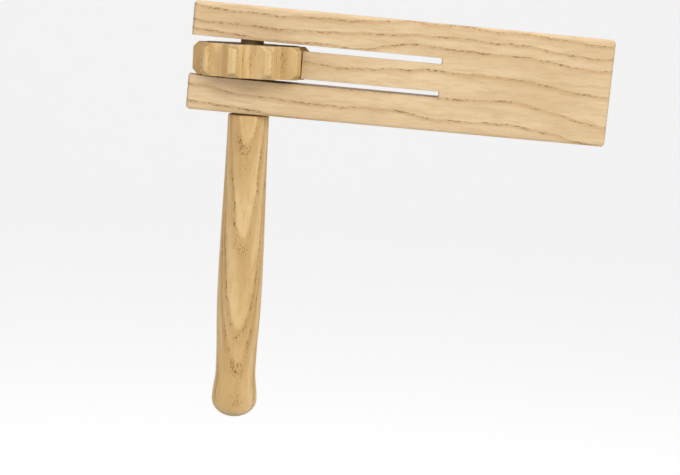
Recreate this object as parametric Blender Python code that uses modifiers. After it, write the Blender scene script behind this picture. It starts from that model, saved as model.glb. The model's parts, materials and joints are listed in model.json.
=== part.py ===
"""Wooden cog rattle: a block with a springy tongue, swung round a cog wheel that is fixed on the handle.

Metres, +Z up along the handle. The origin is the middle of the grip, on the handle's axis.
The frame block is modelled square in its own frame and then hangs out of square on its loose bores.
"""

import math

import bmesh
import bpy
from mathutils import Matrix, Vector

# Frame block, in its own frame: X along the block from the spindle, Y through it, Z across it.
FRAME_LENGTH = 0.190
FRAME_DEPTH = 0.022
FRAME_HEIGHT = 0.0483
FRAME_LEFT_OF_SPINDLE = 0.0274
FRAME_EDGE_ROUND = 0.0018
FRAME_SAG_DEG = 2.13

# The recess that goes on from the cog's pocket, behind the tongue and a little past its root.
RECESS_PAST_TONGUE = 0.0045
RECESS_CORNER_ROUND = 0.003

# Tongue: a thin leaf at the front face, freed by a saw slot above it and one below it.
TONGUE_SLOT = 0.0027
TONGUE_THICKNESS = 0.0032
TONGUE_TIP_GAP = 0.0019
TONGUE_ROOT_FROM_SPINDLE = 0.085
TONGUE_TIP_ROUND = 0.0008
SLOT_END_ROUND = 0.0009

# Cog wheel: a turned disc with valleys gouged into its rim.
COG_RADIUS = 0.0264
COG_THICKNESS = 0.0146
COG_PLAY = 0.0014
COG_TEETH = 10
COG_VALLEY_DEPTH = 0.0063
COG_LAND_DEG = 7.6
COG_VALLEY_ROUND = 0.0011
COG_LAND_ROUND = 0.0011
COG_CHAMFER = 0.0023
# The valley that the tongue's tip stands in, as an angle from the front towards the block's long end.
COG_SEAT_DEG = 70.3

# Spindle: a plain rod, glued in the handle and in the cog.
SPINDLE_RADIUS = 0.0052
SPINDLE_IN_HANDLE = 0.024
SPINDLE_BELOW_TOP = 0.0006
SPINDLE_CHAMFER = 0.0005

# Handle: turned, with a slow swell, a waist and a rounded end.
HANDLE_LENGTH = 0.140
HANDLE_TOP_RADIUS = 0.0093
HANDLE_SWELL_RADIUS = 0.0102
HANDLE_SWELL_FROM_TOP = 0.080
HANDLE_WAIST_RADIUS = 0.0092
HANDLE_WAIST_FROM_END = 0.0217
HANDLE_KNOB_RADIUS = 0.0104
HANDLE_KNOB_FROM_END = 0.0083
HANDLE_SHOULDER_ROUND = 0.0009

# Gaps between pieces that touch, and the slack that the loose bores keep at their tightest.
TOUCH_GAP = 0.0003
GLUE_GAP = 0.0002
PAST_FACE = 0.004
ROUND_STEPS = 64
COG_STEPS = 120
CORNER_POINTS = 5
SHARP_EDGE_DEG = 32.0

SAG = math.radians(FRAME_SAG_DEG)
COG_FACE_RADIUS = COG_RADIUS - COG_CHAMFER
COG_FLOOR_RADIUS = COG_RADIUS - COG_VALLEY_DEPTH
COG_PITCH = math.tau / COG_TEETH
COG_SEAT = math.radians(COG_SEAT_DEG - 90.0)
# The pocket has room for the cog as it lies askew in it, and for the cog's play.
POCKET_HEIGHT = (COG_THICKNESS + COG_PLAY + 2 * COG_FACE_RADIUS * math.tan(SAG)) * math.cos(SAG)
HALF_POCKET = POCKET_HEIGHT / 2
HALF_TONGUE = HALF_POCKET - TONGUE_SLOT
FRONT = -FRAME_DEPTH / 2
BACK = FRAME_DEPTH / 2
TONGUE_BACK = FRONT + TONGUE_THICKNESS
LEFT = -FRAME_LEFT_OF_SPINDLE
RIGHT = FRAME_LENGTH - FRAME_LEFT_OF_SPINDLE
RECESS_END = TONGUE_ROOT_FROM_SPINDLE + RECESS_PAST_TONGUE
HANDLE_TOP = HANDLE_LENGTH / 2

# The block rests on the handle's shoulder, at the shoulder's edge on the side that hangs lower.
FRAME_CENTRE = (
    HANDLE_TOP
    + TOUCH_GAP
    + HANDLE_TOP_RADIUS * math.tan(SAG)
    + FRAME_HEIGHT / 2 / math.cos(SAG)
)
# A bore lets the spindle lean by the sag over the block's whole height.
BORE_RADIUS = SPINDLE_RADIUS / math.cos(SAG) + FRAME_HEIGHT / 2 * math.tan(SAG) + TOUCH_GAP
# The cog nearly touches the pocket's floor on the side that hangs higher.
COG_CENTRE = (
    FRAME_CENTRE
    - HALF_POCKET / math.cos(SAG)
    + COG_FACE_RADIUS * math.tan(SAG)
    + TOUCH_GAP
    + COG_THICKNESS / 2
)
SPINDLE_TOP = FRAME_CENTRE + FRAME_HEIGHT / 2 - SPINDLE_BELOW_TOP


def clear_scene():
    for obj in list(bpy.data.objects):
        bpy.data.objects.remove(obj)


def new_collection(name, hidden=False):
    collection = bpy.data.collections.new(name)
    collection.hide_render = hidden
    bpy.context.scene.collection.children.link(collection)
    return collection


def wood(name, color, roughness):
    material = bpy.data.materials.new(name)
    material.use_nodes = True
    shader = material.node_tree.nodes["Principled BSDF"]
    shader.inputs["Base Color"].default_value = (*color, 1.0)
    shader.inputs["Roughness"].default_value = roughness
    shader.inputs["Metallic"].default_value = 0.0
    return material


def add_object(name, mesh, collection, material=None):
    obj = bpy.data.objects.new(name, mesh)
    collection.objects.link(obj)
    if material:
        mesh.materials.append(material)
    return obj


def as_cutter(obj):
    obj.hide_render = True
    obj.display_type = "WIRE"
    return obj


def box_mesh(name, low, high):
    """A box between two corners, made from a cube primitive."""
    bm = bmesh.new()
    bmesh.ops.create_cube(bm, size=1.0)
    size = [b - a for a, b in zip(low, high)]
    middle = [(a + b) / 2 for a, b in zip(low, high)]
    bmesh.ops.scale(bm, vec=size, verts=bm.verts)
    bmesh.ops.translate(bm, vec=middle, verts=bm.verts)
    mesh = bpy.data.meshes.new(name)
    bm.to_mesh(mesh)
    bm.free()
    return mesh


def round_edges_along(mesh, axis, where, radius, segments):
    """Rounds the edges of a box mesh that run along an axis and whose middle passes a test."""
    bm = bmesh.new()
    bm.from_mesh(mesh)
    edges = []
    for edge in bm.edges:
        along = edge.verts[1].co - edge.verts[0].co
        middle = (edge.verts[0].co + edge.verts[1].co) / 2
        if abs(along.normalized()[axis]) > 0.99 and where(middle):
            edges.append(edge)
    bmesh.ops.bevel(bm, geom=edges, offset=radius, segments=segments, affect="EDGES", profile=0.5)
    bm.to_mesh(mesh)
    bm.free()


def turned(name, profile, steps, collection, material=None):
    """A profile of (radius, height) points, from top to bottom, turned about Z by a Screw modifier."""
    mesh = bpy.data.meshes.new(name)
    points = [(r, 0.0, z) for r, z in profile]
    mesh.from_pydata(points, [(i, i + 1) for i in range(len(points) - 1)], [])
    obj = add_object(name, mesh, collection, material)
    screw = obj.modifiers.new("turn", "SCREW")
    screw.axis = "Z"
    screw.steps = steps
    screw.render_steps = steps
    screw.use_merge_vertices = True
    screw.merge_threshold = 0.00001
    return obj


def boolean(obj, other, operation):
    modifier = obj.modifiers.new(other.name, "BOOLEAN")
    modifier.operation = operation
    modifier.solver = "EXACT"
    modifier.object = other
    return modifier


def bake(obj):
    """Puts the object's modifiers into its mesh, so that it can be shaded and used as it is."""
    graph = bpy.context.evaluated_depsgraph_get()
    mesh = bpy.data.meshes.new_from_object(obj.evaluated_get(graph))
    old = obj.data
    obj.modifiers.clear()
    obj.data = mesh
    bpy.data.meshes.remove(old)
    mesh.name = obj.name
    return obj


def shade_round(obj, angle_deg):
    obj.data.shade_smooth()
    obj.data.set_sharp_from_angle(angle=math.radians(angle_deg))


def arc(centre, radius, start, end, count):
    """Points on an arc, both ends included, with angles in radians."""
    step = (end - start) / (count - 1)
    return [
        (centre[0] + radius * math.cos(start + step * i), centre[1] + radius * math.sin(start + step * i))
        for i in range(count)
    ]


def rounded_corner(before, corner, after, radius, count):
    """Points that replace a corner of an outline by an arc."""
    corner = Vector(corner)
    back = (Vector(before) - corner).normalized()
    ahead = (Vector(after) - corner).normalized()
    half = back.angle(ahead) / 2
    centre = corner + (back + ahead).normalized() * radius / math.sin(half)
    first = corner + back * radius / math.tan(half) - centre
    last = corner + ahead * radius / math.tan(half) - centre
    turn = first.angle_signed(last)
    points = []
    for i in range(count):
        spoke = first.copy()
        spoke.rotate(Matrix.Rotation(-turn * i / (count - 1), 2))
        points.append(tuple(centre + spoke))
    return points


def polar(radius, angle):
    return (radius * math.cos(angle), radius * math.sin(angle))


def cog_valley(angle):
    """The crest before a valley, the valley's floor and the crest after it, seen along the cog's axis."""
    half = (COG_PITCH - math.radians(COG_LAND_DEG)) / 2
    return (
        polar(COG_RADIUS, angle - half),
        polar(COG_FLOOR_RADIUS, angle),
        polar(COG_RADIUS, angle + half),
    )


def tongue_tip():
    """How far from the spindle the tongue ends, so that it stays clear of the flank that it faces."""
    crest, floor, _ = cog_valley(COG_SEAT)
    part = (FRONT - floor[1]) / (crest[1] - floor[1])
    return floor[0] + (crest[0] - floor[0]) * part + TONGUE_TIP_GAP


def cog_outline():
    """The cog seen along its axis: narrow lands on the rim, with a V-shaped gouged valley between each two."""
    points = []
    for i in range(COG_TEETH):
        valley = COG_SEAT + COG_PITCH * i
        crest_before, floor, crest_after = cog_valley(valley)
        land_before = polar(COG_RADIUS, valley - COG_PITCH / 2)
        land_after = polar(COG_RADIUS, valley + COG_PITCH / 2)
        points += rounded_corner(land_before, crest_before, floor, COG_LAND_ROUND, CORNER_POINTS)
        points += rounded_corner(crest_before, floor, crest_after, COG_VALLEY_ROUND, CORNER_POINTS)
        points += rounded_corner(floor, crest_after, land_after, COG_LAND_ROUND, CORNER_POINTS)
    return points


def prism(name, outline, low, high, collection):
    """A closed outline in X and Y, extruded between two heights as a filled curve, and made a mesh."""
    curve = bpy.data.curves.new(name, "CURVE")
    curve.dimensions = "2D"
    curve.fill_mode = "BOTH"
    curve.extrude = (high - low) / 2
    spline = curve.splines.new("POLY")
    spline.points.add(len(outline) - 1)
    spline.use_cyclic_u = True
    for point, (x, y) in zip(spline.points, outline):
        point.co = (x, y, 0.0, 1.0)
    guide = add_object(name + "_curve", curve, collection)
    guide.location.z = (low + high) / 2
    bpy.context.view_layer.update()
    graph = bpy.context.evaluated_depsgraph_get()
    mesh = bpy.data.meshes.new_from_object(guide.evaluated_get(graph))
    bm = bmesh.new()
    bm.from_mesh(mesh)
    bmesh.ops.remove_doubles(bm, verts=bm.verts, dist=0.000001)
    bmesh.ops.recalc_face_normals(bm, faces=bm.faces)
    bm.to_mesh(mesh)
    bm.free()
    obj = add_object(name, mesh, collection)
    obj.matrix_world = guide.matrix_world
    bpy.data.objects.remove(guide)
    return obj


def cylinder_cutter(name, radius, low, high, cutters, steps=ROUND_STEPS):
    bm = bmesh.new()
    bmesh.ops.create_cone(
        bm, cap_ends=True, segments=steps, radius1=radius, radius2=radius, depth=high - low
    )
    bmesh.ops.translate(bm, vec=(0.0, 0.0, (low + high) / 2), verts=bm.verts)
    mesh = bpy.data.meshes.new(name)
    bm.to_mesh(mesh)
    bm.free()
    return as_cutter(add_object(name, mesh, cutters))


def make_frame_block(parts, cutters):
    """The block with its rounded edges, the pocket for the cog, the recess behind the tongue and the bores."""
    mesh = box_mesh("frame_block", (LEFT, FRONT, -FRAME_HEIGHT / 2), (RIGHT, BACK, FRAME_HEIGHT / 2))
    material = wood("frame_ash", (0.66, 0.47, 0.27), 0.55)
    block = add_object("frame_block", mesh, parts, material)
    bevel = block.modifiers.new("sanded_edges", "BEVEL")
    bevel.width = FRAME_EDGE_ROUND
    bevel.segments = 4
    bevel.limit_method = "ANGLE"

    pocket = box_mesh(
        "pocket_cutter",
        (LEFT - PAST_FACE, TONGUE_BACK, -HALF_POCKET),
        (RECESS_END, BACK + PAST_FACE, HALF_POCKET),
    )
    round_edges_along(pocket, 1, lambda p: p.x > 0.0, RECESS_CORNER_ROUND, 4)
    boolean(block, as_cutter(add_object("pocket_cutter", pocket, cutters)), "DIFFERENCE")

    slots = box_mesh(
        "slot_cutter",
        (LEFT - PAST_FACE, FRONT - PAST_FACE, -HALF_POCKET),
        (TONGUE_ROOT_FROM_SPINDLE, TONGUE_BACK + TONGUE_THICKNESS / 2, HALF_POCKET),
    )
    round_edges_along(slots, 1, lambda p: p.x > 0.0, SLOT_END_ROUND, 3)
    boolean(block, as_cutter(add_object("slot_cutter", slots, cutters)), "DIFFERENCE")

    reach = FRAME_HEIGHT / 2 + PAST_FACE
    bore = cylinder_cutter("bore_cutter", BORE_RADIUS, -reach, reach, cutters)
    boolean(block, bore, "DIFFERENCE")
    return block


def make_tongue(parts):
    """The leaf between the slots. Its origin is at its root, on the line that it bends about."""
    root = TONGUE_ROOT_FROM_SPINDLE - TOUCH_GAP
    hinge_y = FRONT + TONGUE_THICKNESS / 2
    low = (tongue_tip() - root, FRONT - hinge_y, -HALF_TONGUE)
    high = (0.0, TONGUE_BACK - hinge_y, HALF_TONGUE)
    mesh = box_mesh("tongue", low, high)
    # The cog wears the tip's inner edge round.
    round_edges_along(mesh, 2, lambda p: p.x < low[0] / 2 and p.y > 0.0, TONGUE_TIP_ROUND, 3)
    tongue = add_object("tongue", mesh, parts, wood("tongue_ash", (0.67, 0.47, 0.26), 0.55))
    tongue.location = (root, hinge_y, 0.0)
    return tongue


def make_cog(parts, cutters):
    """A turned blank with a chamfered rim, cut to the toothed outline and bored."""
    half = COG_THICKNESS / 2
    # The chamfers run on past the outline, which gives the rim its true radius.
    past = COG_CHAMFER / 2
    upper = [
        (0.0, half),
        (COG_FACE_RADIUS, half),
        (COG_RADIUS + past, half - COG_CHAMFER - past),
    ]
    lower = [(r, -z) for r, z in reversed(upper)]
    material = wood("cog_beech", (0.63, 0.42, 0.21), 0.5)
    blank = turned("cog_wheel", upper + lower, COG_STEPS, parts, material)
    teeth = prism("cog_outline_cutter", cog_outline(), -half - PAST_FACE, half + PAST_FACE, cutters)
    boolean(blank, as_cutter(teeth), "INTERSECT")
    bore = cylinder_cutter(
        "cog_bore_cutter", SPINDLE_RADIUS + GLUE_GAP, -half - PAST_FACE, half + PAST_FACE, cutters
    )
    boolean(blank, bore, "DIFFERENCE")
    return blank


def make_spindle(parts):
    foot = HANDLE_TOP - SPINDLE_IN_HANDLE
    profile = [
        (0.0, SPINDLE_TOP),
        (SPINDLE_RADIUS - SPINDLE_CHAMFER, SPINDLE_TOP),
        (SPINDLE_RADIUS, SPINDLE_TOP - SPINDLE_CHAMFER),
        (SPINDLE_RADIUS, foot + SPINDLE_CHAMFER),
        (SPINDLE_RADIUS - SPINDLE_CHAMFER, foot),
        (0.0, foot),
    ]
    material = wood("spindle_beech", (0.55, 0.37, 0.20), 0.6)
    return turned("spindle", profile, ROUND_STEPS, parts, material)


def smooth_radius(z, stations):
    """The handle's radius at a height, from (height, radius) stations joined by half cosine waves."""
    for (high, upper), (low, lower) in zip(stations, stations[1:]):
        if low <= z <= high:
            part = (high - z) / (high - low)
            return upper + (lower - upper) * (1 - math.cos(math.pi * part)) / 2
    return stations[-1][1]


def make_handle(parts, cutters):
    end = HANDLE_TOP - HANDLE_LENGTH
    knob = end + HANDLE_KNOB_FROM_END
    stations = [
        (HANDLE_TOP - HANDLE_SHOULDER_ROUND, HANDLE_TOP_RADIUS),
        (HANDLE_TOP - HANDLE_SWELL_FROM_TOP, HANDLE_SWELL_RADIUS),
        (end + HANDLE_WAIST_FROM_END, HANDLE_WAIST_RADIUS),
        (knob, HANDLE_KNOB_RADIUS),
    ]
    profile = [(0.0, HANDLE_TOP)]
    corner = (HANDLE_TOP_RADIUS - HANDLE_SHOULDER_ROUND, HANDLE_TOP - HANDLE_SHOULDER_ROUND)
    profile += arc(corner, HANDLE_SHOULDER_ROUND, math.pi / 2, 0.0, 5)
    rows = 34
    top = stations[0][0]
    for i in range(1, rows + 1):
        z = top + (knob - top) * i / rows
        profile.append((smooth_radius(z, stations), z))
    # The end is half an ellipse, as high as the knob's centre lies above it.
    dome = 10
    for i in range(1, dome + 1):
        angle = math.pi / 2 * i / dome
        radius = 0.0 if i == dome else HANDLE_KNOB_RADIUS * math.cos(angle)
        profile.append((radius, knob - HANDLE_KNOB_FROM_END * math.sin(angle)))
    material = wood("handle_beech", (0.65, 0.44, 0.22), 0.45)
    handle = turned("handle", profile, ROUND_STEPS, parts, material)
    hole = cylinder_cutter(
        "socket_cutter",
        SPINDLE_RADIUS + GLUE_GAP,
        HANDLE_TOP - SPINDLE_IN_HANDLE - TOUCH_GAP,
        HANDLE_TOP + PAST_FACE,
        cutters,
    )
    boolean(handle, hole, "DIFFERENCE")
    return handle


def empty(name, location, collection, rotation_y=0.0):
    obj = bpy.data.objects.new(name, None)
    obj.empty_display_type = "SINGLE_ARROW"
    obj.empty_display_size = 0.03
    obj.location = location
    obj.rotation_euler = (0.0, rotation_y, 0.0)
    collection.objects.link(obj)
    return obj


def main():
    clear_scene()
    parts = new_collection("ratchet")
    cutters = new_collection("cutters", hidden=True)

    block = make_frame_block(parts, cutters)
    tongue = make_tongue(parts)
    cog = make_cog(parts, cutters)
    cog.location = (0.0, 0.0, COG_CENTRE)
    spindle = make_spindle(parts)
    handle = make_handle(parts, cutters)

    # The block turns about the handle's axis, and hangs out of square to it by the sag.
    spin_axis = empty("frame_spin_axis", (0.0, 0.0, FRAME_CENTRE), parts)
    hang = empty("frame_hang", (0.0, 0.0, 0.0), parts, SAG)
    hang.parent = spin_axis
    block.parent = hang
    tongue.parent = hang
    for cutter in cutters.objects:
        if cutter.name in ("pocket_cutter", "slot_cutter", "bore_cutter"):
            cutter.parent = hang
        elif cutter.name.startswith("cog_"):
            cutter.matrix_world = Matrix.Translation((0.0, 0.0, COG_CENTRE)) @ cutter.matrix_world
    bpy.context.view_layer.update()
    for obj in (block, tongue, cog, spindle, handle):
        bake(obj)
        shade_round(obj, SHARP_EDGE_DEG)


main()
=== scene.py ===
"""Looks for the wooden cog rattle: finely edged wooden pieces with procedural grain, soft studio light."""

import json
import math

import bmesh
import bpy
import numpy as np
from mathutils import Matrix, Vector, noise

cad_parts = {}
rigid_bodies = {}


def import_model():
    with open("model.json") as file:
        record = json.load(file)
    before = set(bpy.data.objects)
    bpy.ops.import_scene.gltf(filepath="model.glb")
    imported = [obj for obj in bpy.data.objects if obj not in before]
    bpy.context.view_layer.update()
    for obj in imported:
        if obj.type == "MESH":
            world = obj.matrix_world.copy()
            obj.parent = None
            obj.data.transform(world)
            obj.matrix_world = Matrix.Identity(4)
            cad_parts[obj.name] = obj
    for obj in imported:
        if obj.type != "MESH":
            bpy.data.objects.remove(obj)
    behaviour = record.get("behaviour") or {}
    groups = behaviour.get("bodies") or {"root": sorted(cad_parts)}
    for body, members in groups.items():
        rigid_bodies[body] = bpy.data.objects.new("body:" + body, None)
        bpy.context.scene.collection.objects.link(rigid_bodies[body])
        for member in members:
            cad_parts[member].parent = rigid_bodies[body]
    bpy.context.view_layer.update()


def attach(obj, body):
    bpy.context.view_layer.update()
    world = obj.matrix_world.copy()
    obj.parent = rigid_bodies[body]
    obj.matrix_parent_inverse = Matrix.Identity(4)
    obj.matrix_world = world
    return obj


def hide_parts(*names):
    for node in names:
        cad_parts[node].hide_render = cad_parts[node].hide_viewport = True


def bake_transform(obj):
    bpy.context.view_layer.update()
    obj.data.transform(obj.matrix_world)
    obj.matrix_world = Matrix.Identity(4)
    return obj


MM = 0.001

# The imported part's own sizes, in metres and radians.
FRAME_LENGTH = 0.190
FRAME_DEPTH = 0.022
FRAME_HEIGHT = 0.0483
FRAME_LEFT_OF_SPINDLE = 0.0274
FRAME_EDGE_ROUND = 0.0018
SAG = math.radians(2.13)
RECESS_PAST_TONGUE = 0.0045
RECESS_CORNER_ROUND = 0.003
TONGUE_SLOT = 0.0027
TONGUE_THICKNESS = 0.0032
TONGUE_TIP_GAP = 0.0019
TONGUE_ROOT = 0.085
SLOT_END_ROUND = 0.9 * MM
COG_RADIUS = 0.0264
COG_THICKNESS = 0.0146
COG_PLAY = 0.0014
COG_TEETH = 10
COG_VALLEY_DEPTH = 0.0063
COG_LAND = math.radians(7.6)
COG_CHAMFER = 0.0023
COG_SEAT = math.radians(70.3 - 90.0)
SPINDLE_RADIUS = 0.0052
SPINDLE_IN_HANDLE = 0.024
SPINDLE_BELOW_TOP = 0.0006
SPINDLE_CHAMFER = 0.5 * MM
HANDLE_LENGTH = 0.140
HANDLE_TOP_RADIUS = 0.0093
HANDLE_SWELL_RADIUS = 0.0102
HANDLE_SWELL_FROM_TOP = 0.080
HANDLE_WAIST_RADIUS = 0.0092
HANDLE_WAIST_FROM_END = 0.0217
HANDLE_KNOB_RADIUS = 0.0104
HANDLE_KNOB_FROM_END = 0.0083
HANDLE_SHOULDER_ROUND = 0.0009
TOUCH_GAP = 0.0003
PAST_FACE = 4 * MM

# What the looks add to the part, in metres and radians, and the steps of its round forms.
SLOT_EDGE_ROUND = 0.28 * MM
LEAF_BEND = 0.030
LEAF_CUTS = 25
COG_STEPS = 1080
COG_CREST_ROUND = 0.7 * MM
COG_RIM_ROUND = 0.35 * MM
COG_FLOOR_LIFT = 0.55 * MM
COG_FLOOR_SPREAD = math.radians(2.6)
GOUGE_MARK = 0.05 * MM
HOLE_PLAY = 0.0001
HANDLE_STEPS = 128
SPINDLE_STEPS = 96

# The photograph's view, fitted from its perspective.
PHOTO_WIDTH_PX = 680
FOCAL_LENGTH_PX = 1728
SENSOR_WIDTH_MM = 36.0
CAMERA_TURN = math.radians(3.771)
CAMERA_TILT = math.radians(7.8)
CAMERA_ROLL = math.radians(3.391)
CAMERA_SHIFT = (-0.039978, -0.079444, 0.780)
CAMERA_ZERO_BELOW_CENTRE = 0.00094

# The floor and the backdrop behind it, in metres.
FLOOR_LEVEL = -0.42
FLOOR_REACH = 3.0
FLOOR_HALF_WIDTH = 5.0
BACKDROP_BEND = 1.2
BACKDROP_TOP = 4.0
BACKDROP_STEPS = 12

HANDLE_TOP = HANDLE_LENGTH / 2
COG_FACE_RADIUS = COG_RADIUS - COG_CHAMFER
HALF_POCKET = (COG_THICKNESS + COG_PLAY + 2 * COG_FACE_RADIUS * math.tan(SAG)) * math.cos(SAG) / 2
HALF_TONGUE = HALF_POCKET - TONGUE_SLOT
FRONT = -FRAME_DEPTH / 2
LEFT = -FRAME_LEFT_OF_SPINDLE
FRAME_CENTRE = (
    HANDLE_TOP + TOUCH_GAP + HANDLE_TOP_RADIUS * math.tan(SAG) + FRAME_HEIGHT / 2 / math.cos(SAG)
)
BORE_RADIUS = SPINDLE_RADIUS / math.cos(SAG) + FRAME_HEIGHT / 2 * math.tan(SAG) + TOUCH_GAP
COG_CENTRE = (
    FRAME_CENTRE
    - HALF_POCKET / math.cos(SAG)
    + COG_FACE_RADIUS * math.tan(SAG)
    + TOUCH_GAP
    + COG_THICKNESS / 2
)
SPINDLE_TOP = FRAME_CENTRE + FRAME_HEIGHT / 2 - SPINDLE_BELOW_TOP
BLOCK_TO_ROW = Matrix.Translation((0, 0, FRAME_CENTRE)) @ Matrix.Rotation(SAG, 4, "Y")

# Growth rings on the block's front: heights in mm from its middle, at places in mm from the spindle.
RINGS = [
    [
        (-28, 22.9), (-15, 21.4), (3, 20.8), (26, 21.3), (47, 21.8), (64, 23.1),
        (85, 23.8), (106, 23.4), (131, 22.4), (150, 21.4), (163, 21.2),
    ],
    [
        (-28, 16.0), (-4, 15.2), (13, 15.0), (41, 16.2), (64, 17.3), (80, 18.3),
        (103, 18.2), (124, 17.5), (140, 15.7), (155, 15.4), (163, 15.8),
    ],
    [
        (-28, 12.2), (-13, 11.0), (2, 10.0), (35, 10.3), (50, 9.7), (60, 12.0),
        (72, 13.6), (92, 12.8), (114, 12.9), (131, 11.9), (146, 10.1), (163, 10.3),
    ],
    [
        (-28, 2.5), (22, 1.7), (37, 0.8), (52, 1.1), (66, 1.9), (80, 3.2),
        (95, 2.6), (110, 2.8), (125, 1.8), (138, 0.4), (150, -1.4), (163, -2.2),
    ],
    [
        (-28, -6.5), (31, -8.6), (60, -8.5), (74, -7.2), (88, -8.7), (104, -8.5),
        (118, -7.8), (132, -9.8), (145, -12.2), (155, -14.9), (163, -15.4),
    ],
    [
        (-28, -12.6), (-18, -13.1), (-8, -15.0), (13, -16.1), (40, -17.1), (66, -16.1),
        (85, -18.4), (102, -18.7), (118, -17.9), (136, -19.9), (150, -22.8), (163, -24.5),
    ],
    [
        (-28, -19.5), (-11, -21.3), (3, -22.4), (20, -24.0), (60, -26.0), (163, -31.0),
    ],
]
RING_TILT = 0.3

# Places of the handle's rings through its wood, and the pitch of the cog's, in mm.
HANDLE_RINGS = (-4.5, 0.6, 5.6, 7.4, 11.0, 13.6, 17.5)
COG_RING_PITCH = 3.1


def linear(*rgb):
    """A colour as it is seen on a screen, 0 to 255, as the numbers that a shader takes."""
    out = []
    for channel in rgb:
        c = channel / 255
        out.append(c / 12.92 if c <= 0.04045 else ((c + 0.055) / 1.055) ** 2.4)
    return (*out, 1.0)


class Graph:
    """A material's node tree, with short ways to add nodes and join them."""

    def __init__(self, name):
        self.material = bpy.data.materials.new(name)
        self.material.use_nodes = True
        self.nodes = self.material.node_tree.nodes
        self.links = self.material.node_tree.links
        self.shader = self.nodes["Principled BSDF"]

    def put(self, socket, value):
        if isinstance(value, bpy.types.NodeSocket):
            self.links.new(value, socket)
        else:
            socket.default_value = value

    def add(self, kind, inputs=None, **settings):
        node = self.nodes.new(kind)
        for key, value in settings.items():
            setattr(node, key, value)
        for key, value in (inputs or {}).items():
            self.put(node.inputs[key], value)
        return node

    def math(self, operation, a, b=0.0, c=None):
        inputs = {0: a, 1: b}
        if c is not None:
            inputs[2] = c
        return self.add("ShaderNodeMath", inputs, operation=operation).outputs[0]

    def span(self, value, low, high, to_low=0.0, to_high=1.0):
        """A smooth step of a value between two limits."""
        inputs = {0: value, 1: low, 2: high, 3: to_low, 4: to_high}
        node = self.add("ShaderNodeMapRange", inputs, interpolation_type="SMOOTHSTEP")
        return node.outputs[0]

    def between(self, value, rise_from, rise_to, fall_from, fall_to):
        """A value that rises smoothly from 0 to 1 over one stretch and falls again over another."""
        rise = self.span(value, rise_from, rise_to)
        return self.math("MULTIPLY", rise, self.span(value, fall_from, fall_to, 1.0, 0.0))

    def mix(self, factor, a, b, blend="MIX"):
        node = self.add("ShaderNodeMix", data_type="RGBA", blend_type=blend)
        self.put(node.inputs["Factor"], factor)
        self.put(node.inputs[6], a)
        self.put(node.inputs[7], b)
        return node.outputs[2]

    def xyz(self, x, y, z):
        return self.add("ShaderNodeCombineXYZ", {0: x, 1: y, 2: z}).outputs[0]

    def parts(self, vector):
        return self.add("ShaderNodeSeparateXYZ", {0: vector}).outputs

    def noise(self, vector, scale=1.0, detail=2.0, roughness=0.5):
        inputs = {"Vector": vector, "Scale": scale, "Detail": detail, "Roughness": roughness}
        return self.add("ShaderNodeTexNoise", inputs).outputs[0]

    def stretched(self, x, y, z, sizes, shift=0.0):
        """A vector whose features are about so many millimetres long each way."""
        return self.xyz(
            self.math("MULTIPLY_ADD", x, 1 / sizes[0], shift),
            self.math("MULTIPLY_ADD", y, 1 / sizes[1], shift),
            self.math("MULTIPLY_ADD", z, 1 / sizes[2], shift),
        )

    def curve(self, value, points, low, high):
        """A smooth curve through points; it takes and gives values between the two corners."""
        node = self.add("ShaderNodeFloatCurve")
        scaled = self.math("DIVIDE", self.math("SUBTRACT", value, low[0]), high[0] - low[0])
        self.put(node.inputs["Value"], scaled)
        line = node.mapping.curves[0]
        spots = [
            ((x - low[0]) / (high[0] - low[0]), (z - low[1]) / (high[1] - low[1])) for x, z in points
        ]
        for i, spot in enumerate(spots):
            if i < 2:
                line.points[i].location = spot
            else:
                line.points.new(*spot)
        node.mapping.update()
        return self.math("MULTIPLY_ADD", node.outputs[0], high[1] - low[1], low[1])


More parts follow.
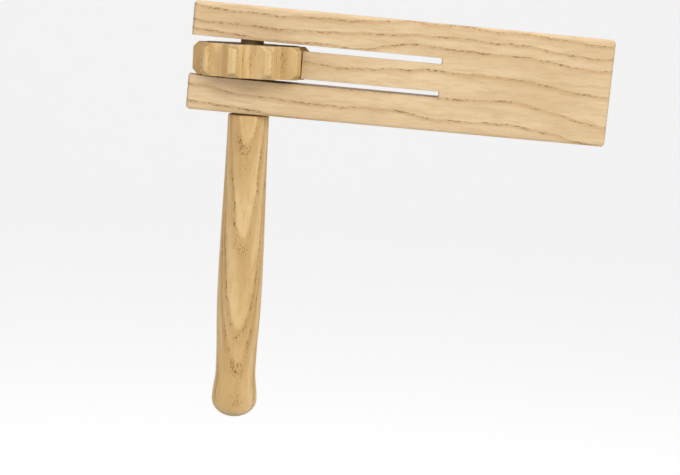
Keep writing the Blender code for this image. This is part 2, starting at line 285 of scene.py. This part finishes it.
def wood(name, rows, rings, tones, strength=1.0, end_grain_and_shade_dark=0.75, roughness=0.52):
    """Ring-porous wood.

    rows gives places along, across and through the wood in mm and the share of end grain.
    rings gives the masks of the dark rings and of the stain beside them.
    """
    g = Graph(name)
    along, across, through, end = rows(g)
    ring, halo = rings(g, along, across, through)
    light, deep, tan, pore = tones

    broad = g.noise(g.stretched(along, across, through, (55, 9, 7), 3.1), detail=3)
    mottle = g.noise(g.stretched(along, across, through, (9, 2.2, 1.6), 8.4), detail=4, roughness=0.6)
    fibre = g.noise(g.stretched(along, across, through, (7, 0.34, 0.22), 1.7), detail=5, roughness=0.62)
    color = g.mix(g.span(broad, 0.34, 0.66), light, deep)
    color = g.mix(g.math("MULTIPLY", g.span(mottle, 0.42, 0.7), 0.35), color, tan)
    color = g.mix(g.math("MULTIPLY", halo, 0.55 * strength), color, tan)

    dash = g.noise(g.stretched(along, across, through, (1.7, 0.5, 0.26), 5.3), detail=3, roughness=0.62)
    patch = g.noise(g.stretched(along, across, through, (11, 6, 5), 9.9), detail=2)
    sparse = g.math("MULTIPLY_ADD", g.span(patch, 0.35, 0.62), -0.10, 0.60)
    dense = g.span(g.math("SUBTRACT", dash, sparse), 0.0, 0.075)
    pores = g.math("MULTIPLY", dense, ring)
    fleck_noise = g.noise(g.stretched(along, across, through, (1.3, 0.3, 0.17), 2.2), detail=2)
    flecks = g.math("MULTIPLY", g.span(fleck_noise, 0.62, 0.72), 0.32)
    color = g.mix(g.math("MULTIPLY", pores, 0.92 * strength), color, pore)
    color = g.mix(flecks, color, tan)

    shade = g.span(fibre, 0.2, 0.8, 0.935, 1.055)
    # End grain is darkened here. A strong setting, as on the cog, also paints shade onto the end faces.
    shade = g.math("MULTIPLY", shade, g.math("MULTIPLY_ADD", end, end_grain_and_shade_dark - 1.0, 1.0))
    color = g.mix(1.0, color, g.xyz(shade, shade, shade), "MULTIPLY")
    g.put(g.shader.inputs["Base Color"], color)

    rough = g.span(mottle, 0.3, 0.7, roughness - 0.05, roughness + 0.07)
    rough = g.math("ADD", rough, g.math("MULTIPLY", pores, 0.2))
    g.put(g.shader.inputs["Roughness"], rough)
    g.shader.inputs["Specular IOR Level"].default_value = 0.4

    height = g.math("MULTIPLY_ADD", pores, -0.9, g.math("MULTIPLY", fibre, 0.55))
    height = g.math("MULTIPLY_ADD", g.math("MULTIPLY", flecks, 0.8), -1.0, height)
    bump = g.add("ShaderNodeBump", {"Strength": 0.5, "Distance": 0.12 * MM, "Height": height})
    g.put(g.shader.inputs["Normal"], bump.outputs[0])
    return g.material


def object_mm(g, to_row=None):
    """The object's own coordinates in mm, in the frame of a given matrix."""
    place = g.add("ShaderNodeTexCoord").outputs["Object"]
    node = g.add("ShaderNodeMapping", vector_type="TEXTURE")
    matrix = to_row or Matrix.Identity(4)
    node.inputs["Location"].default_value = matrix.translation
    node.inputs["Rotation"].default_value = matrix.to_euler()
    node.inputs["Scale"].default_value = (MM, MM, MM)
    g.put(node.inputs[0], place)
    return g.parts(node.outputs[0])


def facing(g, direction):
    """How squarely the surface faces along a direction, either way, from 0 to 1."""
    normal = g.add("ShaderNodeTexCoord").outputs["Normal"]
    node = g.add("ShaderNodeVectorMath", {0: normal, 1: direction}, operation="DOT_PRODUCT")
    return g.span(g.math("ABSOLUTE", node.outputs["Value"]), 0.55, 0.95)


def ring_masks(g, gaps, band, halo):
    """Masks of the dark rings and of their stain, from the distances to each ring in mm."""
    ring, stain = 0.0, 0.0
    for gap in gaps:
        ring = g.math("MAXIMUM", g.between(gap, *band), ring)
        stain = g.math("MAXIMUM", g.between(gap, *halo), stain)
    return ring, stain


def block_rows(g):
    """The block's grain runs along it, with rings that wander and tilt away from its front."""
    x, y, z = object_mm(g, BLOCK_TO_ROW)
    wander = g.noise(g.stretched(x, y, z, (13, 30, 22)), detail=3, roughness=0.6)
    shift = g.math("MULTIPLY_ADD", wander, 2.6, -1.3)
    tilt = g.math("MULTIPLY", g.math("ADD", y, -FRONT / MM), -RING_TILT)
    through = g.math("ADD", g.math("ADD", z, tilt), shift)
    return x, y, through, facing(g, BLOCK_TO_ROW.to_3x3() @ Vector((1, 0, 0)))


def block_rings(g, along, across, through):
    heights = [g.curve(along, points, (-30, -34), (166, 27)) for points in RINGS]
    gaps = [g.math("SUBTRACT", through, height) for height in heights]
    return ring_masks(g, gaps, (-1.25, -0.1, 0.1, 0.45), (-2.6, -0.2, 0.0, 0.7))


def upright_rows(g, turn_deg):
    """Grain that runs up the handle's axis, with its flat rings turned about that axis."""
    x, y, z = object_mm(g)
    cosine = math.cos(math.radians(turn_deg))
    sine = math.sin(math.radians(turn_deg))
    across = g.math("SUBTRACT", g.math("MULTIPLY", x, cosine), g.math("MULTIPLY", y, sine))
    through = g.math("ADD", g.math("MULTIPLY", x, sine), g.math("MULTIPLY", y, cosine))
    return z, across, through, facing(g, (0, 0, 1))


def handle_rows(g):
    """The handle's rings lean a little along it, so they come out as arches."""
    z, across, through, end = upright_rows(g, 0.0)
    wander = g.noise(g.stretched(z, across, through, (16, 14, 14), 4.0), detail=3, roughness=0.55)
    lean = g.math("MULTIPLY_ADD", z, 0.08, g.math("MULTIPLY_ADD", wander, 1.5, -0.75))
    return z, across, g.math("SUBTRACT", lean, through), end


def handle_rings(g, along, across, through):
    gaps = [g.math("SUBTRACT", through, place) for place in HANDLE_RINGS]
    return ring_masks(g, gaps, (-0.95, -0.1, 0.05, 0.3), (-2.4, -0.2, 0.0, 0.5))


def cog_rows(g):
    z, across, through, end = upright_rows(g, 24.0)
    wander = g.noise(g.stretched(z, across, through, (20, 6, 6), 7.0), detail=2)
    return z, across, g.math("ADD", through, g.math("MULTIPLY_ADD", wander, 2.0, -1.0)), end


def cog_rings(g, along, across, through):
    part = g.math("FRACT", g.math("DIVIDE", g.math("ADD", through, 60.0), COG_RING_PITCH))
    return g.between(part, 0.0, 0.06, 0.14, 0.42), g.between(part, 0.0, 0.1, 0.2, 0.9)


def add_object(name, mesh):
    obj = bpy.data.objects.new(name, mesh)
    bpy.context.scene.collection.objects.link(obj)
    return obj


def mesh_from(bm, name):
    mesh = bpy.data.meshes.new(name)
    bm.to_mesh(mesh)
    bm.free()
    return mesh


def box(name, low, high, rounded=None, radius=0.0, segments=4):
    """A box between two corners; rounded picks the edges along Y that get a radius."""
    bm = bmesh.new()
    bmesh.ops.create_cube(bm, size=1.0)
    low, high = Vector(low), Vector(high)
    bmesh.ops.scale(bm, vec=high - low, verts=bm.verts)
    bmesh.ops.translate(bm, vec=(low + high) / 2, verts=bm.verts)
    if rounded:
        edges = [
            e
            for e in bm.edges
            if abs((e.verts[1].co - e.verts[0].co).normalized().y) > 0.9
            and rounded((e.verts[0].co + e.verts[1].co) / 2)
        ]
        bmesh.ops.bevel(bm, geom=edges, offset=radius, segments=segments, affect="EDGES", profile=0.5)
    return add_object(name, mesh_from(bm, name))


def settle(obj, *cutters):
    """Puts the object's modifiers into its mesh and removes the cutters."""
    bpy.context.view_layer.update()
    graph = bpy.context.evaluated_depsgraph_get()
    mesh = bpy.data.meshes.new_from_object(obj.evaluated_get(graph))
    obj.modifiers.clear()
    obj.data = mesh
    for cutter in cutters:
        bpy.data.objects.remove(cutter)
    return obj


def boolean(obj, cutter, operation="DIFFERENCE"):
    modifier = obj.modifiers.new(cutter.name, "BOOLEAN")
    modifier.operation = operation
    modifier.solver = "EXACT"
    modifier.object = cutter


def bevel(obj, width, segments, angle_deg):
    modifier = obj.modifiers.new("edges", "BEVEL")
    modifier.width = width
    modifier.segments = segments
    modifier.limit_method = "ANGLE"
    modifier.angle_limit = math.radians(angle_deg)
    modifier.use_clamp_overlap = False
    return modifier


def shade(obj, angle_deg):
    obj.data.shade_smooth()
    obj.data.set_sharp_from_angle(angle=math.radians(angle_deg))


def cog_valley(angle):
    """Crest, floor and crest of the part's valley at an angle, seen from above."""
    half = (math.tau / COG_TEETH - COG_LAND) / 2
    floor = COG_RADIUS - COG_VALLEY_DEPTH
    return [
        (r * math.cos(a), r * math.sin(a))
        for r, a in ((COG_RADIUS, angle - half), (floor, angle), (COG_RADIUS, angle + half))
    ]


def tongue_tip():
    """Where the tongue ends along the block: a gap short of the flank that it faces."""
    crest, floor, _ = cog_valley(COG_SEAT)
    part = (FRONT - floor[1]) / (crest[1] - floor[1])
    return floor[0] + (crest[0] - floor[0]) * part + TONGUE_TIP_GAP


def saw_slot(side, behind):
    """The cutter of the slot above (1) or below (-1) the tongue, with the outer corner of its end rounded."""
    outer = side * HALF_POCKET
    low, high = sorted((outer, side * HALF_TONGUE))
    return box(
        f"kerf_{side}",
        (LEFT - PAST_FACE, FRONT - PAST_FACE, low),
        (TONGUE_ROOT, behind, high),
        lambda p: p.x > 0 and abs(p.z - outer) < MM / 10,
        SLOT_END_ROUND,
        4,
    )


def bore_cutter():
    """One cylinder through both arms."""
    bm = bmesh.new()
    bmesh.ops.create_cone(
        bm,
        cap_ends=True,
        segments=96,
        radius1=BORE_RADIUS,
        radius2=BORE_RADIUS,
        depth=FRAME_HEIGHT + PAST_FACE,
    )
    return add_object("bore", mesh_from(bm, "bore"))


def cut_across(obj, low, high, count):
    """Adds edges across a mesh at even steps along X, so that it can bend."""
    bm = bmesh.new()
    bm.from_mesh(obj.data)
    for i in range(1, count + 1):
        x = low + (high - low) * i / (count + 1)
        geom = bm.verts[:] + bm.edges[:] + bm.faces[:]
        bmesh.ops.bisect_plane(bm, geom=geom, plane_co=(x, 0, 0), plane_no=(1, 0, 0))
    bm.to_mesh(obj.data)
    bm.free()


def make_block_and_tongue():
    """The plank is shaped whole and then parted at the tongue's root, so that grain and edges meet."""
    top = FRAME_HEIGHT / 2
    right = FRAME_LENGTH - FRAME_LEFT_OF_SPINDLE
    whole = box("plank", (LEFT, FRONT, -top), (right, -FRONT, top))
    rim = bevel(whole, FRAME_EDGE_ROUND, 6, 30)
    rim.use_clamp_overlap = True
    settle(whole)
    recess_end = TONGUE_ROOT + RECESS_PAST_TONGUE
    tip = tongue_tip()
    pocket = box(
        "pocket",
        (LEFT - PAST_FACE, FRONT + TONGUE_THICKNESS, -HALF_POCKET),
        (recess_end, -FRONT + PAST_FACE, HALF_POCKET),
        lambda p: p.x > 0,
        RECESS_CORNER_ROUND,
        6,
    )
    behind = FRONT + TONGUE_THICKNESS + 1.5 * MM
    mouth = box(
        "mouth",
        (LEFT - PAST_FACE, FRONT - PAST_FACE, -HALF_POCKET),
        (tip, behind, HALF_POCKET),
    )
    kerfs = [saw_slot(side, behind) for side in (-1, 1)]
    bore = bore_cutter()
    for cutter in (pocket, mouth, *kerfs, bore):
        boolean(whole, cutter)
    bevel(whole, SLOT_EDGE_ROUND, 2, 52)
    settle(whole, pocket, mouth, *kerfs, bore)

    tongue = add_object("tongue_leaf", whole.data.copy())
    half = HALF_TONGUE + 0.6 * MM
    region = box(
        "region",
        (tip - PAST_FACE, FRONT - PAST_FACE, -half),
        (TONGUE_ROOT, behind - 0.5 * MM, half),
    )
    boolean(tongue, region, "INTERSECT")
    boolean(whole, region)
    settle(tongue)
    settle(whole, region)
    cut_across(tongue, tip, TONGUE_ROOT, LEAF_CUTS)
    for obj, name in ((whole, "frame_plank"), (tongue, "tongue_leaf")):
        obj.name = name
        obj.data.transform(BLOCK_TO_ROW)
        shade(obj, 34)
        weighted = obj.modifiers.new("flat_faces", "WEIGHTED_NORMAL")
        weighted.keep_sharp = True
    return whole, tongue


def soft_min(a, b, k):
    """The smaller of two lengths, with their meeting rounded over about k."""
    h = np.clip(0.5 + 0.5 * (b - a) / k, 0.0, 1.0)
    return b + (a - b) * h - k * h * (1 - h)


def cog_radius(angle):
    """The gouged outline's radius at an angle from +X, with straight flanks, round floors and soft crests."""
    pitch = math.tau / COG_TEETH
    local = (angle - COG_SEAT + pitch / 2) % pitch - pitch / 2
    half = (pitch - COG_LAND) / 2
    floor = COG_RADIUS - COG_VALLEY_DEPTH
    crest = np.array((COG_RADIUS * math.cos(half), COG_RADIUS * math.sin(half)))
    base = np.array((floor, 0.0))
    run = crest - base
    side = np.abs(local)
    cross = run[0] * np.sin(side) - run[1] * np.cos(side)
    flank = -(base[0] * run[1]) / np.where(np.abs(cross) < 1e-9, 1e-9, cross)
    flank = np.where((cross < 0) & (flank > 0), flank, 1.0)
    lift = COG_FLOOR_LIFT * np.exp(-((side / COG_FLOOR_SPREAD) ** 2))
    return soft_min(flank + lift, COG_RADIUS, COG_CREST_ROUND)


def cog_heights():
    """Heights of the skin's rows, closer together over the chamfers."""
    upper = [COG_THICKNESS / 2 - COG_CHAMFER * 1.15 * (i / 14) ** 1.2 for i in range(15)]
    inner = np.linspace(upper[-1], -upper[-1], 14)[1:-1]
    return upper + list(inner) + [-h for h in reversed(upper)]


def carved_radii(outline, angles, z):
    """The outline at one height, cut back by the chamfers and marked by the gouge."""
    limit = COG_FACE_RADIUS + (COG_THICKNESS / 2 - abs(z))
    radii = soft_min(outline, limit, COG_RIM_ROUND)
    marks = []
    for a, r in zip(angles, radii):
        spot = Vector((r * math.cos(a), r * math.sin(a), z * 0.25)) * 420
        depth = min(1.0, max(0.0, (COG_RADIUS - r) / (2 * MM)))
        marks.append(GOUGE_MARK * depth * noise.noise(spot))
    return radii + np.array(marks)


def vert_ring(bm, angles, radii, z):
    return [bm.verts.new((r * math.cos(a), r * math.sin(a), z)) for a, r in zip(angles, radii)]


def make_cog():
    """A fine skin over angle and height: the gouged outline, cut back by the turned chamfers."""
    half = COG_THICKNESS / 2
    count = COG_STEPS
    angles = np.linspace(0, math.tau, count, endpoint=False)
    outline = cog_radius(angles)
    bm = bmesh.new()
    bore = [SPINDLE_RADIUS + HOLE_PLAY] * count
    rows = [vert_ring(bm, angles, bore, z) for z in (half, -half)]
    skin = [vert_ring(bm, angles, carved_radii(outline, angles, z), z) for z in cog_heights()]
    rows = [rows[0]] + skin + [rows[1]]
    for upper, lower in zip(rows, rows[1:] + rows[:1]):
        for i in range(count):
            j = (i + 1) % count
            bm.faces.new((upper[i], lower[i], lower[j], upper[j]))
    bmesh.ops.recalc_face_normals(bm, faces=bm.faces)
    bmesh.ops.translate(bm, vec=(0, 0, COG_CENTRE), verts=bm.verts)
    obj = add_object("cog_carved", mesh_from(bm, "cog_carved"))
    shade(obj, 38)
    return obj


def turned(name, profile, steps):
    """A turned solid from (radius, height) points, the first and the last of them on the axis."""
    bm = bmesh.new()
    angles = [math.tau * i / steps for i in range(steps)]
    rings = []
    for r, z in profile:
        if r == 0.0:
            rings.append([bm.verts.new((0, 0, z))])
        else:
            rings.append(vert_ring(bm, angles, [r] * steps, z))
    for upper, lower in zip(rings, rings[1:]):
        for i in range(steps):
            j = (i + 1) % steps
            if len(upper) == 1:
                bm.faces.new((upper[0], lower[i], lower[j]))
            elif len(lower) == 1:
                bm.faces.new((upper[i], lower[0], upper[j]))
            else:
                bm.faces.new((upper[i], lower[i], lower[j], upper[j]))
    bmesh.ops.recalc_face_normals(bm, faces=bm.faces)
    return add_object(name, mesh_from(bm, name))


def handle_radius(z, stations):
    """The radius at a height, with an even swell from each station to the next."""
    for (high, upper), (low, lower) in zip(stations, stations[1:]):
        if low <= z <= high:
            part = (high - z) / (high - low)
            return upper + (lower - upper) * (1 - math.cos(math.pi * part)) / 2
    return stations[-1][1]


def make_handle():
    """The turned grip, with the spindle's blind hole in its top."""
    end = HANDLE_TOP - HANDLE_LENGTH
    knob = end + HANDLE_KNOB_FROM_END
    stations = [
        (HANDLE_TOP - HANDLE_SHOULDER_ROUND, HANDLE_TOP_RADIUS),
        (HANDLE_TOP - HANDLE_SWELL_FROM_TOP, HANDLE_SWELL_RADIUS),
        (end + HANDLE_WAIST_FROM_END, HANDLE_WAIST_RADIUS),
        (knob, HANDLE_KNOB_RADIUS),
    ]
    hole = SPINDLE_RADIUS + HOLE_PLAY
    bottom = HANDLE_TOP - SPINDLE_IN_HANDLE - TOUCH_GAP
    profile = [(0.0, bottom), (hole, bottom), (hole, HANDLE_TOP)]
    flat = HANDLE_TOP_RADIUS - HANDLE_SHOULDER_ROUND
    below = HANDLE_TOP - HANDLE_SHOULDER_ROUND
    for i in range(9):
        a = math.pi / 2 * (1 - i / 8)
        r = flat + HANDLE_SHOULDER_ROUND * math.cos(a)
        profile.append((r, below + HANDLE_SHOULDER_ROUND * math.sin(a)))
    rows = 120
    for i in range(1, rows + 1):
        z = stations[0][0] + (knob - stations[0][0]) * i / rows
        profile.append((handle_radius(z, stations), z))
    for i in range(1, 21):
        a = math.pi / 2 * i / 20
        r = 0.0 if i == 20 else HANDLE_KNOB_RADIUS * math.cos(a)
        profile.append((r, knob - HANDLE_KNOB_FROM_END * math.sin(a)))
    obj = turned("handle_turned", profile, HANDLE_STEPS)
    shade(obj, 50)
    return obj


def make_spindle():
    """The dowel, from the bottom of the handle's hole to the block's top."""
    foot = HANDLE_TOP - SPINDLE_IN_HANDLE
    chamfer = SPINDLE_CHAMFER
    profile = [(0.0, SPINDLE_TOP)]
    profile += [(SPINDLE_RADIUS - chamfer, SPINDLE_TOP), (SPINDLE_RADIUS, SPINDLE_TOP - chamfer)]
    for i in range(1, 30):
        z = SPINDLE_TOP - chamfer + (foot + 2 * chamfer - SPINDLE_TOP) * i / 30
        profile.append((SPINDLE_RADIUS, z))
    profile += [(SPINDLE_RADIUS, foot + chamfer), (SPINDLE_RADIUS - chamfer, foot), (0.0, foot)]
    obj = turned("spindle_rod", profile, SPINDLE_STEPS)
    shade(obj, 40)
    return obj


def dress(obj, material, body, node):
    """Gives a piece its wood, attaches it to the body that it moves with (a blend only has its place baked
    into its mesh), and hides the node that it stands for.
    """
    obj.data.materials.clear()
    obj.data.materials.append(material)
    if isinstance(body, str):
        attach(obj, body)
    else:
        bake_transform(obj)
    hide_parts(node)


def make_floor():
    """A wide pale floor well below the handle, with its far part raised into a backdrop."""
    bm = bmesh.new()
    rows = [(-FLOOR_REACH, FLOOR_LEVEL), (FLOOR_REACH, FLOOR_LEVEL)]
    for i in range(1, BACKDROP_STEPS + 1):
        a = math.pi / 2 * i / BACKDROP_STEPS
        y = FLOOR_REACH + BACKDROP_BEND * math.sin(a)
        rows.append((y, FLOOR_LEVEL + BACKDROP_BEND * (1 - math.cos(a))))
    rows.append((FLOOR_REACH + BACKDROP_BEND, BACKDROP_TOP))
    ends = (-FLOOR_HALF_WIDTH, FLOOR_HALF_WIDTH)
    verts = [[bm.verts.new((x, y, z)) for x in ends] for y, z in rows]
    for a, b in zip(verts, verts[1:]):
        bm.faces.new((a[0], a[1], b[1], b[0]))
    floor = add_object("floor", mesh_from(bm, "floor"))
    floor.data.shade_smooth()
    g = Graph("pale_floor")
    g.shader.inputs["Base Color"].default_value = (0.82, 0.82, 0.82, 1.0)
    g.shader.inputs["Roughness"].default_value = 0.9
    glow = g.add("ShaderNodeEmission", {"Color": (1, 1, 1, 1), "Strength": 0.55})
    both = g.add("ShaderNodeAddShader", {0: g.shader.outputs[0], 1: glow.outputs[0]})
    path = g.add("ShaderNodeLightPath")
    seen = path.outputs["Is Camera Ray"]
    seen = g.math("MAXIMUM", seen, path.outputs["Is Glossy Ray"])
    seen = g.math("MAXIMUM", seen, path.outputs["Is Transmission Ray"])
    choose = g.add("ShaderNodeMixShader", {0: seen, 1: g.shader.outputs[0], 2: both.outputs[0]})
    g.put(g.nodes["Material Output"].inputs[0], choose.outputs[0])
    floor.data.materials.append(g.material)


def make_world(strength):
    """Even white light of a given strength, which itself is seen as plain white."""
    world = bpy.data.worlds.new("studio")
    bpy.context.scene.world = world
    world.use_nodes = True
    nodes, links = world.node_tree.nodes, world.node_tree.links
    back = nodes["Background"]
    back.inputs["Color"].default_value = (1, 1, 1, 1)
    path = nodes.new("ShaderNodeLightPath")
    seen = nodes.new("ShaderNodeMath")
    seen.operation = "MAXIMUM"
    links.new(path.outputs["Is Camera Ray"], seen.inputs[0])
    links.new(path.outputs["Is Glossy Ray"], seen.inputs[1])
    also = nodes.new("ShaderNodeMath")
    also.operation = "MAXIMUM"
    links.new(seen.outputs[0], also.inputs[0])
    links.new(path.outputs["Is Transmission Ray"], also.inputs[1])
    level = nodes.new("ShaderNodeMapRange")
    level.inputs["To Min"].default_value = strength
    level.inputs["To Max"].default_value = 1.0
    links.new(also.outputs[0], level.inputs["Value"])
    links.new(level.outputs[0], back.inputs["Strength"])


def area_light(name, place, aim, size, power, color=(1, 1, 1)):
    light = bpy.data.lights.new(name, "AREA")
    light.shape = "RECTANGLE"
    light.size, light.size_y = size
    light.energy = power
    light.color = color
    obj = bpy.data.objects.new(name, light)
    bpy.context.scene.collection.objects.link(obj)
    obj.location = place
    obj.rotation_euler = (Vector(aim) - Vector(place)).to_track_quat("-Z", "Y").to_euler()


def make_camera():
    """Placed from the photograph's perspective: turned, tilted down and rolled, at 0.78 m."""
    turn = Matrix.Rotation(CAMERA_TURN, 3, "Z")
    lean = Matrix.Rotation(CAMERA_TILT, 3, "X")
    to_image = Matrix(((1, 0, 0), (0, 0, -1), (0, 1, 0)))
    spin = Matrix.Rotation(CAMERA_ROLL, 3, "Z")
    sight = spin @ to_image @ lean @ turn
    zero = Vector((0, 0, FRAME_CENTRE - CAMERA_ZERO_BELOW_CENTRE))
    place = -(sight.transposed() @ Vector(CAMERA_SHIFT)) + zero
    right, down, ahead = sight.row
    pose = Matrix((right, -Vector(down), -Vector(ahead))).transposed().to_4x4()
    camera = bpy.data.cameras.new("camera")
    camera.sensor_fit = "HORIZONTAL"
    camera.sensor_width = SENSOR_WIDTH_MM
    camera.lens = FOCAL_LENGTH_PX / PHOTO_WIDTH_PX * SENSOR_WIDTH_MM
    camera.clip_start = 0.01
    obj = bpy.data.objects.new("camera", camera)
    bpy.context.scene.collection.objects.link(obj)
    obj.matrix_world = Matrix.Translation(place) @ pose
    bpy.context.scene.camera = obj


def main():
    for obj in list(bpy.data.objects):
        bpy.data.objects.remove(obj)
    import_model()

    ash = (linear(228, 201, 160), linear(216, 186, 143), linear(196, 158, 108), linear(124, 84, 48))
    ash_wood = wood("ash", block_rows, block_rings, ash)
    beech = (linear(228, 196, 142), linear(214, 178, 120), linear(190, 148, 88), linear(112, 74, 38))
    # The cog's strong end-grain darkening (0.42) is partly real end grain and partly painted shade for its
    # top face, which lies in shade under the upper arm.
    cog_wood = wood("cog_ash", cog_rows, cog_rings, beech, 0.6, 0.42)
    handle_wood = wood("handle_ash", handle_rows, handle_rings, beech, 1.0, 0.6, 0.46)
    dowel = (linear(190, 158, 112), linear(174, 140, 96), linear(150, 114, 72), linear(110, 76, 44))
    spindle_wood = wood("dowel", cog_rows, cog_rings, dowel, 0.5, 0.6)

    block, tongue = make_block_and_tongue()
    dress(block, ash_wood, "frame", "frame_block")
    start = BLOCK_TO_ROW @ Vector((TONGUE_ROOT - TOUCH_GAP, FRONT + TONGUE_THICKNESS / 2, 0))
    end = BLOCK_TO_ROW @ Vector((TONGUE_ROOT - LEAF_BEND, FRONT + TONGUE_THICKNESS / 2, 0))
    dress(tongue, ash_wood, ("frame", "tongue", start, end), "tongue")
    dress(make_cog(), cog_wood, "handle", "cog_wheel")
    dress(make_spindle(), spindle_wood, "handle", "spindle")
    dress(make_handle(), handle_wood, "handle", "handle")

    make_floor()
    make_world(0.36)
    middle = (0.05, 0.0, 0.06)
    area_light("key", (0.75, -1.0, 0.75), middle, (0.9, 0.9), 11.5, (1.0, 0.985, 0.96))
    area_light("fill", (-0.95, -0.85, 0.35), middle, (0.8, 1.0), 5.0)
    area_light("top", (0.1, 0.15, 1.1), middle, (1.0, 0.8), 5.0)
    make_camera()
    bpy.context.scene.view_settings.view_transform = "Standard"


main()
